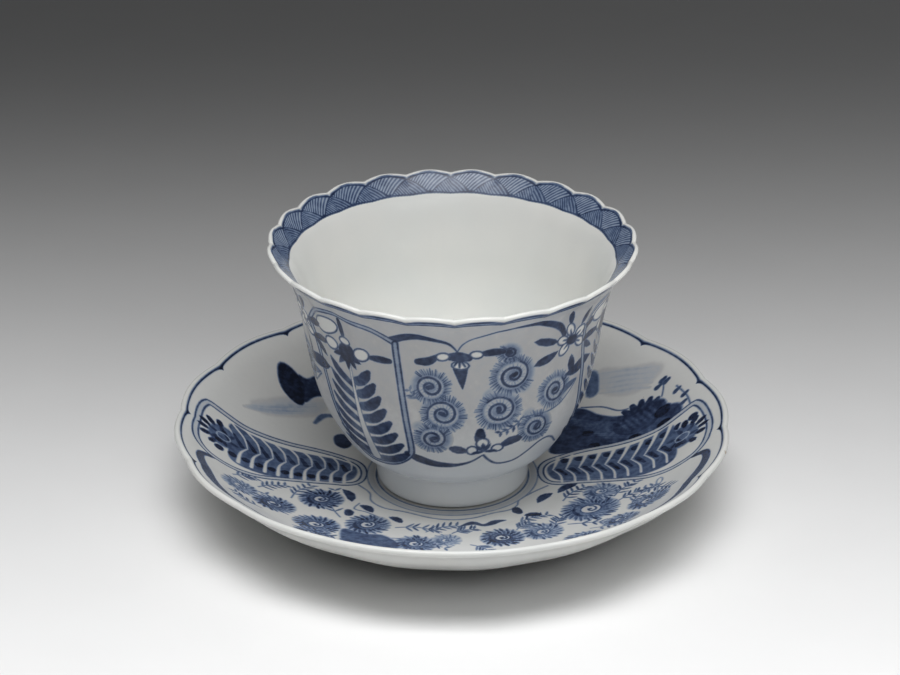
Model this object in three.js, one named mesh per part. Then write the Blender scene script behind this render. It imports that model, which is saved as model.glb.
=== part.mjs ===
// A fluted porcelain teacup standing on its fluted saucer.
//
// Sizes are in millimetres. +Z is up, and the origin is on the table, under the middle of the
// saucer. Both pieces are turned about the Z axis, then pressed into lobes: crests stand out at
// the full radius, and between two crests the wall draws in to a sharp cusp.

import * as THREE from 'three';

// Driving dimensions of the saucer.
const SAUCER_RADIUS = 66;
const SAUCER_HEIGHT = 20.6;
const SAUCER_LOBES = 16;
const SAUCER_FIRST_CUSP_DEG = -3.7;
const SAUCER_CUSP_DEPTH = 0.8;
const SAUCER_CUSP_DROP = 0.4;
const SAUCER_WELL_RADIUS = 27;
const SAUCER_WELL_HEIGHT = 4.8;
const SAUCER_WELL_THICKNESS = 2.6;
const SAUCER_LIP = 1.5;
const SAUCER_FOOT_RADIUS = 33.5;
const SAUCER_FOOT_WIDTH = 3.2;

// Driving dimensions of the cup, measured up from the bottom of its own foot.
const CUP_RADIUS = 43;
const CUP_HEIGHT = 61.3;
const CUP_LOBES = 24;
const CUP_FIRST_CUSP_DEG = 0.6;
const CUP_CUSP_DEPTH = 0.55;
const CUP_CUSP_DROP = 0.7;
const CUP_WALL = 2.2;
const CUP_LIP = 1.1;
const CUP_FOOT_RADIUS = 18;
const CUP_FOOT_WIDTH = 2.6;
const CUP_RECESS = 7.7;
const CUP_FLOOR = 10.9;

// The cup's foot stands this far clear of the saucer, so that the two bodies never share a face.
const FOOT_CLEARANCE = 0.1;

const FOOT_CHAMFER = 0.5;
const LIP_STEPS = 4;

function point(radius, height) {
  return new THREE.Vector2(radius, height);
}

// Points along a smooth curve through a few [radius, height] stations.
function curveThrough(stations, spans) {
  const curve = new THREE.SplineCurve(stations.map(([radius, height]) => point(radius, height)));
  return curve.getSpacedPoints(spans);
}

// The rounded edge of a rim: a half circle from the outer wall, over the top, to the inner wall.
function lipArc(radius, top, thickness) {
  const half = thickness / 2;
  return Array.from({ length: LIP_STEPS + 1 }, (_, i) => {
    const turn = Math.PI * (i / LIP_STEPS - 0.25);
    return point(radius - half + half * Math.cos(turn), top - half + half * Math.sin(turn));
  });
}

// The recess under a piece and the ring foot round it, from the axis out to the ring's outer side.
function ringFoot(radius, width, recess) {
  const inner = radius - width;
  return [
    point(0, recess),
    point(inner - recess / 2, recess),
    point(inner, FOOT_CHAMFER),
    point(inner + FOOT_CHAMFER, 0),
    point(radius - FOOT_CHAMFER, 0),
    point(radius, FOOT_CHAMFER),
  ];
}

// How far the rim is drawn in at an angle: 0 on a crest, rising to 1 at the cusp on each side.
function cuspAt(angle, lobes, firstCusp) {
  const turns = ((angle - firstCusp) * lobes) / (2 * Math.PI);
  return 1 - Math.sin(Math.PI * (turns - Math.floor(turns)));
}

// Turns a closed section about Z and presses the lobes into it. Angles run from -Y towards +X.
// depthAt and dropAt give how far a cusp lies in and down, from a point's radius and height.
function turnedAndLobed({ section, stepsPerLobe, lobes, firstCuspDeg, depthAt, dropAt }) {
  const firstCusp = THREE.MathUtils.degToRad(firstCuspDeg);
  const geometry = new THREE.LatheGeometry(section, stepsPerLobe * lobes, firstCusp);
  geometry.rotateX(Math.PI / 2);
  const points = geometry.getAttribute('position');
  for (let i = 0; i < points.count; i += 1) {
    const radius = Math.hypot(points.getX(i), points.getY(i));
    const height = points.getZ(i);
    const angle = Math.atan2(points.getX(i), -points.getY(i));
    const cusp = cuspAt(angle, lobes, firstCusp);
    const drawnIn = radius - depthAt(radius, height) * cusp;
    const lowered = height - dropAt(height) * cusp;
    points.setXYZ(i, drawnIn * Math.sin(angle), -drawnIn * Math.cos(angle), lowered);
  }
  return geometry;
}

function saucerSection() {
  const underWell = SAUCER_WELL_HEIGHT - SAUCER_WELL_THICKNESS;
  const outside = curveThrough([
    [SAUCER_FOOT_RADIUS + 0.4, underWell],
    [0.66 * SAUCER_RADIUS, 0.18 * SAUCER_HEIGHT],
    [0.78 * SAUCER_RADIUS, 0.38 * SAUCER_HEIGHT],
    [0.89 * SAUCER_RADIUS, 0.63 * SAUCER_HEIGHT],
    [0.96 * SAUCER_RADIUS, 0.84 * SAUCER_HEIGHT],
    [SAUCER_RADIUS - 0.5, SAUCER_HEIGHT - 1.5],
  ], 9);
  const inside = curveThrough([
    [SAUCER_RADIUS - SAUCER_LIP, SAUCER_HEIGHT - 0.6],
    [0.93 * SAUCER_RADIUS, 0.86 * SAUCER_HEIGHT],
    [0.86 * SAUCER_RADIUS, 0.68 * SAUCER_HEIGHT],
    [0.76 * SAUCER_RADIUS, 0.475 * SAUCER_HEIGHT],
    [0.62 * SAUCER_RADIUS, 0.315 * SAUCER_HEIGHT],
    [SAUCER_WELL_RADIUS, SAUCER_WELL_HEIGHT],
  ], 9);
  return [
    ...ringFoot(SAUCER_FOOT_RADIUS, SAUCER_FOOT_WIDTH, underWell),
    ...outside,
    ...lipArc(SAUCER_RADIUS, SAUCER_HEIGHT, SAUCER_LIP),
    ...inside,
    point(0, SAUCER_WELL_HEIGHT),
  ];
}

function saucerGeometry() {
  const { smoothstep } = THREE.MathUtils;
  return turnedAndLobed({
    section: saucerSection(),
    stepsPerLobe: 6,
    lobes: SAUCER_LOBES,
    firstCuspDeg: SAUCER_FIRST_CUSP_DEG,
    depthAt: (radius) => SAUCER_CUSP_DEPTH * smoothstep(radius / SAUCER_RADIUS, 0.55, 1),
    dropAt: (height) => SAUCER_CUSP_DROP * smoothstep(height / SAUCER_HEIGHT, 0.3, 1),
  });
}

function cupSection() {
  const outside = curveThrough([
    [CUP_FOOT_RADIUS + 0.4, CUP_RECESS],
    [0.482 * CUP_RADIUS, 0.142 * CUP_HEIGHT],
    [0.598 * CUP_RADIUS, 0.218 * CUP_HEIGHT],
    [0.729 * CUP_RADIUS, 0.39 * CUP_HEIGHT],
    [0.79 * CUP_RADIUS, 0.565 * CUP_HEIGHT],
    [0.832 * CUP_RADIUS, 0.743 * CUP_HEIGHT],
    [0.894 * CUP_RADIUS, 0.89 * CUP_HEIGHT],
    [CUP_RADIUS - 0.4, CUP_HEIGHT - 1.2],
  ], 12);
  const inside = curveThrough([
    [CUP_RADIUS - CUP_LIP, CUP_HEIGHT - 0.5],
    [0.894 * CUP_RADIUS - CUP_WALL + 0.5, 0.9 * CUP_HEIGHT],
    [0.832 * CUP_RADIUS - CUP_WALL, 0.75 * CUP_HEIGHT],
    [0.79 * CUP_RADIUS - CUP_WALL, 0.57 * CUP_HEIGHT],
    [0.729 * CUP_RADIUS - CUP_WALL, 0.4 * CUP_HEIGHT],
    [0.59 * CUP_RADIUS - CUP_WALL, 0.262 * CUP_HEIGHT],
    [0.4 * CUP_RADIUS - CUP_WALL, 0.198 * CUP_HEIGHT],
    [0.15 * CUP_RADIUS, CUP_FLOOR],
  ], 12);
  return [
    ...ringFoot(CUP_FOOT_RADIUS, CUP_FOOT_WIDTH, CUP_RECESS),
    ...outside,
    ...lipArc(CUP_RADIUS, CUP_HEIGHT, CUP_LIP),
    ...inside,
    point(0, CUP_FLOOR),
  ];
}

function cupGeometry() {
  const { smoothstep } = THREE.MathUtils;
  return turnedAndLobed({
    section: cupSection(),
    stepsPerLobe: 4,
    lobes: CUP_LOBES,
    firstCuspDeg: CUP_FIRST_CUSP_DEG,
    depthAt: (radius, height) => CUP_CUSP_DEPTH * smoothstep(height / CUP_HEIGHT, 0.25, 1),
    dropAt: (height) => CUP_CUSP_DROP * smoothstep(height / CUP_HEIGHT, 0.85, 1),
  });
}

function porcelain(colour) {
  return new THREE.MeshStandardMaterial({ color: colour, roughness: 0.12, metalness: 0 });
}

function makeSaucer() {
  const saucer = new THREE.Mesh(saucerGeometry(), porcelain(0xdfe2e4));
  saucer.name = 'saucer';
  return saucer;
}

function makeCup() {
  const cup = new THREE.Mesh(cupGeometry(), porcelain(0xe4e5e4));
  cup.name = 'cup';
  cup.position.z = SAUCER_WELL_HEIGHT + FOOT_CLEARANCE;
  return cup;
}

const teacup = new THREE.Group();
teacup.add(makeSaucer(), makeCup());

export default teacup;
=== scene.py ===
"""The looks of a blue-and-white porcelain teacup on its saucer.

Each piece is a dense turned mesh that follows the CAD section. Its decoration is painted on the
vertices with small brush functions, as the amount of cobalt blue at each place, and one glaze
material turns that into colour. Lengths are in millimetres until a mesh is made.
"""

import bpy
import numpy as np
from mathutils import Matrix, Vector


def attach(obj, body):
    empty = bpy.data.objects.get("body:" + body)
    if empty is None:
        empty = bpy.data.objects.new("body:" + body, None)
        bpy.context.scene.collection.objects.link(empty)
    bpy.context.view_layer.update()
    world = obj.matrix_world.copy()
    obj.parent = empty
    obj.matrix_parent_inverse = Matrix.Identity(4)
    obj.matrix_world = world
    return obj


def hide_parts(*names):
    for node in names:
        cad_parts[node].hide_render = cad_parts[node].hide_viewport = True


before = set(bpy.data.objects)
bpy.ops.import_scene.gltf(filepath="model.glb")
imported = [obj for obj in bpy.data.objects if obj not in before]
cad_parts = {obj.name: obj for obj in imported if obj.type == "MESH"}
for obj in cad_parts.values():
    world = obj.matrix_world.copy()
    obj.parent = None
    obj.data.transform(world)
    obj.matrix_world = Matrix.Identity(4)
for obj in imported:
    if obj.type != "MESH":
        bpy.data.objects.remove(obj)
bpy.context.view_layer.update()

MM = 0.001

# Saucer, as in the CAD model.
SAUCER_RADIUS = 66
SAUCER_HEIGHT = 20.6
SAUCER_LOBES = 16
SAUCER_FIRST_CUSP = np.radians(-3.7)
SAUCER_CUSP_DEPTH = 0.8
SAUCER_CUSP_DROP = 0.4
SAUCER_WELL_RADIUS = 27
SAUCER_WELL_HEIGHT = 4.8
SAUCER_WELL_THICKNESS = 2.6
SAUCER_LIP = 1.5
SAUCER_FOOT_RADIUS = 33.5
SAUCER_FOOT_WIDTH = 3.2
SAUCER_RINGS_FROM = 17
SAUCER_COLUMNS = 1536

# Cup, as in the CAD model, measured up from the bottom of its own foot.
CUP_RADIUS = 43
CUP_HEIGHT = 61.3
CUP_LOBES = 24
CUP_FIRST_CUSP = np.radians(0.6)
CUP_CUSP_DEPTH = 0.55
CUP_CUSP_DROP = 0.7
CUP_WALL = 2.2
CUP_LIP = 1.1
CUP_FOOT_RADIUS = 18
CUP_FOOT_WIDTH = 2.6
CUP_RECESS = 7.7
CUP_FLOOR = 10.9
CUP_BASE = SAUCER_WELL_HEIGHT + 0.1
CUP_COLUMNS = 1200

# How much of the outer flutes' depth shows inside the cup, below the lip.
INNER_FLUTE_SHARE = 0.2

# The cup's pattern: a fern panel and a spiral-flower panel, three times round the wall.
CUP_REPEATS = 3
PATTERN_MIDDLE_DEG = -2
PATTERN_REACH_DEG = 72
RIM_BAND_DEPTH = 5.9

# Painted shade: a faint grey tone laid over the cup's outer wall and the saucer's inside.
CUP_PAINTED_SHADE = 0.11
SAUCER_PAINTED_SHADE = 0.05

# Distance between rows of vertices, where the glaze is painted and where it is plain.
PAINTED_SPACING = 0.24
PLAIN_SPACING = 0.7

# Distance between points along a stroke and round a wash.
STROKE_STEP = 0.8
WASH_STEP = 1.0

# A brown chip on the saucer's lip and an iron speck over the cup's foot: place and radius.
SAUCER_CHIP = (63.2, -17.8, 19.6)
SAUCER_CHIP_RADIUS = 1.0
CUP_SPECK = (0.2, -19.6, 13.1)
CUP_SPECK_RADIUS = 0.45

# The same porcelain in two whites: the cup's is raised as painted light, the saucer's lowered as
# painted shade.
CUP_LIT_WHITE = (0.88, 0.88, 0.85)
SAUCER_SHADED_WHITE = (0.73, 0.73, 0.705)
BARE_CLAY = (0.62, 0.57, 0.49)
IRON_SPECK = (0.16, 0.11, 0.07)
BROWN_STAIN = (0.34, 0.22, 0.11)

# The colour of cobalt under glaze, at shares of the thickest paint. The first, grey stop also
# gives the painted shade its tone.
FULL_PIGMENT = 1.4
COBALT = [
    (0.07, (0.56, 0.56, 0.56)),
    (0.13, (0.48, 0.515, 0.56)),
    (0.26, (0.285, 0.352, 0.47)),
    (0.44, (0.108, 0.158, 0.272)),
    (0.60, (0.045, 0.070, 0.145)),
    (0.78, (0.020, 0.031, 0.072)),
    (1.00, (0.009, 0.013, 0.028)),
]

# The studio, in metres apart from the lens.
FLOOR_REACH = 3.0
CAMERA_TARGET = (-0.0006, 0, 0.0411)
CAMERA_ELEVATION_DEG = 25.74
CAMERA_DISTANCE = 0.731
CAMERA_LENS_MM = 124.6

chance = np.random.default_rng(24)


# Curves and turned sections.


def arc_length(path):
    """How far along the path each of its points is."""
    return np.concatenate([[0], np.cumsum(np.hypot(*np.diff(path, axis=0).T))])


def evenly(path, spacing):
    """The same path, with its points an even distance apart."""
    along = arc_length(path)
    count = max(2, round(along[-1] / spacing) + 1)
    at = np.linspace(0, along[-1], count)
    return np.stack([np.interp(at, along, path[:, 0]), np.interp(at, along, path[:, 1])], axis=1)


def curve(stations, spacing, closed=False):
    """Even points along the smooth curve through a few stations."""
    points = np.array(stations, float)
    if closed:
        points = np.concatenate([points[-1:], points, points[:2]])
    else:
        points = np.concatenate([points[:1], points, points[-1:]])
    t = np.linspace(0, 1, 12, endpoint=False)[:, None]
    spans = []
    for before, start, end, after in zip(points, points[1:], points[2:], points[3:]):
        leave = (end - before) / 2
        arrive = (after - start) / 2
        cubic = 2 * start - 2 * end + leave + arrive
        square = 3 * end - 3 * start - 2 * leave - arrive
        spans.append(cubic * t**3 + square * t**2 + leave * t + start)
    spans.append(points[-2:-1])
    return evenly(np.concatenate(spans), spacing)


def ring_foot(radius, width, recess):
    """The recess under a piece and the ring foot round it, from the axis to the outer side."""
    inner = radius - width
    corners = [(0, recess), (inner - recess / 2, recess), (inner, 0.5), (inner + 0.5, 0)]
    corners += [(radius - 0.5, 0), (radius, 0.5), (radius + 0.4, recess)]
    return evenly(np.array(corners, float), PLAIN_SPACING)


def lip_arc(radius, top, thickness):
    """The rounded edge of a rim, over the top from the outer wall to the inner wall."""
    half = thickness / 2
    turn = np.pi * (np.linspace(0, 1, 11) - 0.25)
    out = radius - half + half * np.cos(turn)
    up = top - half + half * np.sin(turn)
    return np.stack([out, up], axis=1)


def rounded(path):
    """The path with its corners worn round."""
    for _ in range(3):
        path[1:-1] = (path[:-2] + 2 * path[1:-1] + path[2:]) / 4
    return path


def cusp_at(angle, lobes, first):
    """0 on the crest of a lobe, rising to 1 at the cusp on each side."""
    return 1 - np.sin(np.pi * (((angle - first) * lobes / (2 * np.pi)) % 1))


def smoothstep(value, low, high):
    """0 up to low, 1 from high on, and a smooth rise between."""
    t = np.clip((value - low) / (high - low), 0, 1)
    return t * t * (3 - 2 * t)


class Turned:
    """A piece turned from a section and pressed into lobes.

    Its vertices are in rows along the section and columns round the axis. cusp is 1 at each cusp
    and 0 on each lobe, flute is the same as a soft wave, and blue is the pigment at every vertex,
    with a faint painted shade laid into it.
    """

    def __init__(self, foot, outside, lip, inside, columns, lobes, first_cusp):
        axis = np.array([[0, inside[-1, 1]]])
        under = rounded(np.concatenate([foot, outside[1:12]]))
        self.section = np.concatenate([under, outside[12:], lip[1:], inside[1:], axis])
        self.outside = slice(len(foot) - 1, len(foot) - 1 + len(outside))
        self.lip = slice(self.outside.stop - 1, self.outside.stop - 2 + len(lip))
        self.inside = slice(self.lip.stop, self.lip.stop + len(inside) - 1)
        self.angle = first_cusp + 2 * np.pi * np.arange(columns) / columns
        self.cusp = cusp_at(self.angle, lobes, first_cusp)
        self.flute = (1 + np.cos(lobes * (self.angle - first_cusp))) / 2
        self.blue = np.zeros((len(self.section), columns))

    def points(self, depth, drop, crisp, base):
        """Every vertex, after each cusp is drawn in by depth and lowered by drop.

        The cusps are sharp where crisp is 1, and soft flutes where it is 0.
        """
        radius, height = self.section.T
        press = self.flute + crisp[:, None] * (self.cusp - self.flute)
        drawn_in = radius[:, None] - depth[:, None] * press
        lowered = height[:, None] - drop[:, None] * press
        across = drawn_in * np.sin(self.angle)
        back = -drawn_in * np.cos(self.angle)
        return np.stack([across, back, base + lowered], axis=-1)


def ring_mesh(name, points, blue):
    """A closed mesh from rings of points. The first and last rings shrink to one vertex each."""
    rings = points[1:-1]
    rows, columns = rings.shape[:2]
    vertices = np.concatenate([rings.reshape(-1, 3), points[:1, 0], points[-1:, 0]]) * MM
    pigment = np.concatenate([blue[1:-1].ravel(), [0, 0]])
    ring = np.arange(rows * columns).reshape(rows, columns)
    right = np.roll(ring, -1, axis=1)
    quads = np.stack([ring[:-1], right[:-1], right[1:], ring[1:]], axis=-1).reshape(-1, 4)
    first = np.full(columns, rows * columns)
    under = np.stack([first, right[0], ring[0]], axis=-1)
    over = np.stack([ring[-1], right[-1], first + 1], axis=-1)
    corners = np.concatenate([quads.ravel(), under.ravel(), over.ravel()])
    sizes = np.concatenate([np.full(len(quads), 4), np.full(2 * columns, 3)])

    mesh = bpy.data.meshes.new(name)
    mesh.vertices.add(len(vertices))
    mesh.vertices.foreach_set("co", vertices.astype(np.float32).ravel())
    mesh.loops.add(len(corners))
    mesh.loops.foreach_set("vertex_index", corners.astype(np.int32))
    mesh.polygons.add(len(sizes))
    mesh.polygons.foreach_set("loop_start", (np.cumsum(sizes) - sizes).astype(np.int32))
    mesh.polygons.foreach_set("use_smooth", np.ones(len(sizes), bool))
    mesh.update(calc_edges=True)
    attribute = mesh.attributes.new("pigment", "FLOAT", "POINT")
    attribute.data.foreach_set("value", pigment.astype(np.float32))
    piece = bpy.data.objects.new(name, mesh)
    bpy.context.scene.collection.objects.link(piece)
    return piece


# The brush.


class Patch:
    """Vertices that take the brush. x and y place each on the glaze, and blue is its pigment.

    The vertices are sorted into square cells, so that a stroke finds the ones near it at once.
    """

    CELL = 1.5

    def __init__(self, x, y, blue, chosen):
        self.vertex = np.flatnonzero(chosen)
        self.x = x.ravel()[self.vertex]
        self.y = y.ravel()[self.vertex]
        self.blue = blue.reshape(-1)
        self.corner = np.array([self.x.min(), self.y.min()])
        self.across = int((self.x.max() - self.corner[0]) / self.CELL) + 1
        self.up = int((self.y.max() - self.corner[1]) / self.CELL) + 1
        column = ((self.x - self.corner[0]) / self.CELL).astype(int)
        row = ((self.y - self.corner[1]) / self.CELL).astype(int)
        cell = row * self.across + column
        self.order = np.argsort(cell, kind="stable")
        self.start = np.searchsorted(cell[self.order], np.arange(self.across * self.up + 1))

    def near(self, low, high):
        """The vertices in and just round a box."""
        left, bottom = np.floor((np.array(low) - self.corner) / self.CELL).astype(int)
        right, top = np.floor((np.array(high) - self.corner) / self.CELL).astype(int)
        left, right = max(left, 0), min(right, self.across - 1)
        if left > right:
            return self.order[:0]
        runs = [self.order[:0]]
        for row in range(max(bottom, 0), min(top, self.up - 1) + 1):
            first = self.start[row * self.across + left]
            last = self.start[row * self.across + right + 1]
            runs.append(self.order[first:last])
        return np.concatenate(runs)

    def lay(self, chosen, cover, tone, lift):
        """Adds paint, or lifts it off down to a paler tone."""
        vertex = self.vertex[chosen]
        if lift:
            self.blue[vertex] -= cover * np.maximum(self.blue[vertex] - tone, 0)
        else:
            self.blue[vertex] = np.maximum(self.blue[vertex], cover * tone)

    def brush(self, points, width, tone=1.0, soft=0.3, lift=False, closed=False):
        """A stroke through a few points. width and tone may be lists, spread along the stroke."""
        path = curve(points, STROKE_STEP, closed)
        share = np.linspace(0, 1, len(path))
        half = spread(width, share) / 2
        tones = spread(tone, share)
        for i in range(len(path) - 1):
            start, step = path[i], path[i + 1] - path[i]
            reach = max(half[i], half[i + 1]) + soft
            low = np.minimum(start, path[i + 1]) - reach
            high = np.maximum(start, path[i + 1]) + reach
            chosen = self.near(low, high)
            dx, dy = self.x[chosen] - start[0], self.y[chosen] - start[1]
            along = np.clip((dx * step[0] + dy * step[1]) / max(step @ step, 1e-9), 0, 1)
            away = np.hypot(dx - along * step[0], dy - along * step[1])
            edge = half[i] + along * (half[i + 1] - half[i])
            cover = np.clip((edge - away) / soft + 0.5, 0, 1)
            self.lay(chosen, cover, tones[i], lift)

    def wash(self, outline, tone, soft=0.5, lift=False):
        """A smooth closed shape filled with one tone."""
        path = curve(outline, WASH_STEP, closed=True)
        chosen = self.near(path.min(axis=0) - soft, path.max(axis=0) + soft)
        x, y = self.x[chosen], self.y[chosen]
        inside = np.zeros(len(chosen), bool)
        away = np.full(len(chosen), 1e9)
        for (x0, y0), (x1, y1) in zip(path, np.roll(path, -1, axis=0)):
            run, rise = x1 - x0, y1 - y0
            level = (y0 > y) != (y1 > y)
            inside ^= level & (x < run * (y - y0) / (rise + 1e-12) + x0)
            size = max(run**2 + rise**2, 1e-9)
            along = np.clip(((x - x0) * run + (y - y0) * rise) / size, 0, 1)
            away = np.minimum(away, np.hypot(x - x0 - along * run, y - y0 - along * rise))
        cover = np.clip(np.where(inside, away, -away) / soft + 0.5, 0, 1)
        self.lay(chosen, cover, tone, lift)


def spread(value, share):
    """A single value, or a list spread evenly, read at each share of the way."""
    values = np.atleast_1d(np.array(value, float))
    return np.interp(share, np.linspace(0, 1, len(values)), values)


def line(value, middle, width, soft=0.25):
    """How much a painted line covers, where value says how far across it a vertex is."""
    return np.clip((width / 2 - np.abs(value - middle)) / soft + 0.5, 0, 1)


def from_point(centre, distance, turn):
    """The point at a distance and a turn, in degrees anticlockwise from the right."""
    turn = np.radians(turn)
    return centre[0] + distance * np.cos(turn), centre[1] + distance * np.sin(turn)


def oval(centre, length, width, turn):
    """Eight points round an oval whose length lies along turn."""
    turns = np.radians(np.arange(0, 360, 45))
    along, side = length / 2 * np.cos(turns), width / 2 * np.sin(turns)
    lean = np.radians(turn)
    x = centre[0] + along * np.cos(lean) - side * np.sin(lean)
    y = centre[1] + along * np.sin(lean) + side * np.cos(lean)
    return list(zip(x, y))


def bent(base, tip, bend):
    """Three points from base to tip, bowed sideways by bend times the length."""
    base, tip = np.array(base), np.array(tip)
    side = np.array([base[1] - tip[1], tip[0] - base[0]])
    return [base, (base + tip) / 2 + bend * side, tip]


# Motifs.


def leaf(patch, base, tip, width, tone=1.0, bend=0.0):
    """A pointed leaf, fullest past its middle, with more paint left at the tip."""
    full = [0.25, 0.75 * width, width, 0.85 * width, 0.2]
    patch.brush(bent(base, tip, bend), full, [0.8 * tone, tone, tone])


def bud(patch, base, tip, width, bend=0.0):
    """A blunt leaf or bud, loaded with paint."""
    full = [0.5 * width, 0.9 * width, width, 0.7 * width]
    patch.brush(bent(base, tip, bend), full, [0.75, 1.0, 1.1])


def petal(patch, centre, length, width, turn=0.0, tone=0.85):
    """A white petal with a painted outline."""
    outline = oval(centre, length, width, turn)
    patch.wash(outline, tone=0.045, lift=True)
    patch.brush(outline, 0.45, tone, closed=True)


def hairs(patch, centre, inner, outer, count, tone, start, sweep=360.0):
    """Short strokes that stand out all round a flower."""
    for turn in np.linspace(start, start + sweep, count, endpoint=False):
        turn += chance.normal(0, 2)
        length = outer - inner
        end = inner + length * chance.uniform(0.75, 1.1)
        line = [from_point(centre, inner, turn), from_point(centre, end, turn + 4)]
        patch.brush(line, [0.42, 0.25], tone * chance.uniform(0.7, 1.1))


def spiral(patch, centre, radius, turns, width, tone, start):
    """A line that winds out from the centre."""
    share = np.linspace(0.12, 1, round(10 * turns) + 3)
    points = [from_point(centre, radius * part, start + 360 * turns * part) for part in share]
    patch.brush(points, [width, width, 0.8 * width], tone)


def spiral_flower(patch, centre, radius, start, hair=2.2, sweep=300.0):
    """A flower drawn as a curled shell, with a fringe of hairs and a pale wash round it."""
    patch.wash(oval(centre, 2 * radius + 2.8, 2 * radius + 2.2, start), tone=0.48, soft=1.8)
    patch.wash(oval(centre, 1.9 * radius, 1.8 * radius, start), tone=0.17, soft=0.7, lift=True)
    patch.wash(oval(centre, radius, radius, start), tone=0.45, soft=0.8)
    hairs(patch, centre, 0.5 * radius, 0.85 * radius, 19, 0.5, start)
    spiral(patch, centre, radius, 2.1, 0.75, 0.9, start)
    patch.brush([centre, from_point(centre, 0.6, start)], 1.3)
    hairs(patch, centre, radius + 0.1, radius + 0.8 * hair, round(12 * radius), 0.82, start, sweep)


def double_line(patch, points, gap):
    """Two thin lines, gap apart, with a pale wash between them."""
    patch.brush(points, gap + 0.5, 0.95)
    patch.brush(points, gap - 0.4, 0.32, lift=True)


def double_outline(patch, outline, gap):
    """Two thin lines round a closed panel, which keeps its inside clean."""
    patch.wash(outline, tone=0.03, lift=True)
    patch.brush(outline, gap + 0.45, 0.95, closed=True)
    patch.brush(outline, gap - 0.4, 0.16, lift=True, closed=True)


def chrysanthemum(patch, centre, radius, tone):
    """A round flower with rings of short petals and a white heart."""
    lean = chance.uniform(0, 40)
    patch.wash(oval(centre, 2 * radius, 1.7 * radius, lean), tone=0.74 * tone, soft=1.5)
    count = round(3.8 * radius)
    for ring, length in ((0.6, 0.4), (0.86, 0.34)):
        out = ring * radius
        for turn in np.arange(0, 360, 360 / count) + 180 / count * (ring > 0.7):
            turn += chance.normal(0, 3)
            base = from_point(centre, out * (1 - length / 2), turn)
            tip = from_point(centre, out * (1 + length / 2), turn + 8)
            between = turn + 150 / count
            gap_base = from_point(centre, out * (1 - length / 3), between)
            gap_tip = from_point(centre, out * (1 + length / 3), between + 6)
            patch.brush([gap_base, gap_tip], 0.35, 0.25, lift=True)
            patch.brush([base, tip], [0.5, 0.9, 0.4], tone * chance.uniform(0.7, 1.25), soft=0.5)
    shaded = [from_point(centre, 0.6 * radius, turn) for turn in (150, 190, 230, 270)]
    patch.brush(shaded, [0.5, 1.8, 0.5], 1.05 * tone, soft=0.9)
    heart = oval(centre, 0.77 * radius, 0.63 * radius, lean)
    patch.wash(heart, tone=0.1, lift=True)
    patch.brush(heart, 0.5, tone, closed=True)
    spiral(patch, centre, 0.245 * radius, 1.2, 0.6, tone, lean)


def spray(patch, base, tip, tone, leaves=5, length=2.6):
    """A fine twig with small leaves on both sides."""
    twig = curve(bent(base, tip, 0.12), STROKE_STEP)
    patch.brush(twig[:: max(1, len(twig) // 4)], 0.35, tone)
    way = np.degrees(np.arctan2(tip[1] - base[1], tip[0] - base[0]))
    for i, share in enumerate(np.linspace(0.25, 1, leaves)):
        joint = twig[round(share * (len(twig) - 1))]
        for side in (-1, 1):
            end = from_point(joint, length * (1.1 - 0.4 * share), way + side * 50)
            patch.brush([joint, end], [0.3, 0.8, 0.3], tone * (0.9 + 0.2 * (i % 2)))


# The cup's decoration.


class Wall(Patch):
    """One repeat of the cup's outer wall. A place on it is degrees from the front and mm up."""

    def __init__(self, cup, arc, turn):
        radius = cup.section[cup.outside, 0]
        self.arc, self.radius = arc, radius
        degrees = np.degrees(cup.angle) - turn - PATTERN_MIDDLE_DEG
        wobble = 0.35 * np.sin(np.radians(7 * degrees + 2 * turn))
        degrees = (degrees + wobble + 180) % 360 - 180
        x = np.radians(degrees) * radius[:, None]
        y = arc[:, None] + 0.15 * np.sin(np.radians(9 * degrees + turn))
        chosen = np.broadcast_to(np.abs(degrees) < PATTERN_REACH_DEG, x.shape)
        super().__init__(x, y, cup.blue[cup.outside], chosen)

    def at(self, *places):
        """The patch's own x and y for each place."""
        return [self.spot(degrees, up) for degrees, up in places]

    def spot(self, degrees, up):
        """The patch's own x and y for one place."""
        around = np.radians(degrees - PATTERN_MIDDLE_DEG) * np.interp(up, self.arc, self.radius)
        return around, up


def paint_fern_panel(wall):
    """A tall panel with a fern and a flower above it, inside a double line."""
    arch = wall.at((-64, 47), (-60, 49.8), (-54, 52.4), (-46, 53.7), (-38, 53.7), (-30, 52.6),
                   (-24, 51.2), (-20.5, 49.8))
    side = wall.at((-20.5, 49.8), (-20.6, 47), (-20, 38), (-19, 29), (-18.2, 20), (-20, 16.5),
                   (-28, 12.6), (-38, 10.9), (-47, 11.6), (-53, 17), (-57, 27), (-61, 39),
                   (-64, 47))
    double_line(wall, arch, 1.15)
    double_line(wall, side, 1.15)
    paint_fern(wall)
    paint_fern_flower(wall)


def paint_fern(wall):
    """A pale stem with eight leaflets on each side."""
    stem = wall.at((-41.8, 42), (-41, 36), (-39.8, 27), (-39, 20), (-39.3, 12.8))

    def stem_at(up):
        return wall.spot(np.interp(up, [12, 20, 27, 36, 42], [-39.3, -39, -39.8, -41, -41.8]), up)

    for i in range(8):
        up = 39.6 - 3.25 * i
        leaflet = bent(stem_at(up - 4.0), wall.spot(-33 + 1.75 * i, up), -0.14)
        wall.brush(leaflet, [1.6, 2.6, 2.8, 2.7, 1.4], [0.55, 0.75, 1.0, 1.0])
    for i in range(8):
        up = 39.8 - 3.35 * i
        leaflet = bent(wall.spot(-52 - 0.75 * i, up), stem_at(max(up - 5.4, 12.8)), -0.08)
        wall.brush(leaflet, [0.8, 1.8, 2.0, 1.9, 1.5], [0.7, 0.92, 0.8, 0.75, 0.9])
    wall.brush(stem, [0.9, 1.2, 1.8, 2.4, 3.0], 0.5)
    wall.brush(stem, [0.3, 0.6, 1.2, 1.8, 2.4], 0.05, lift=True)


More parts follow.
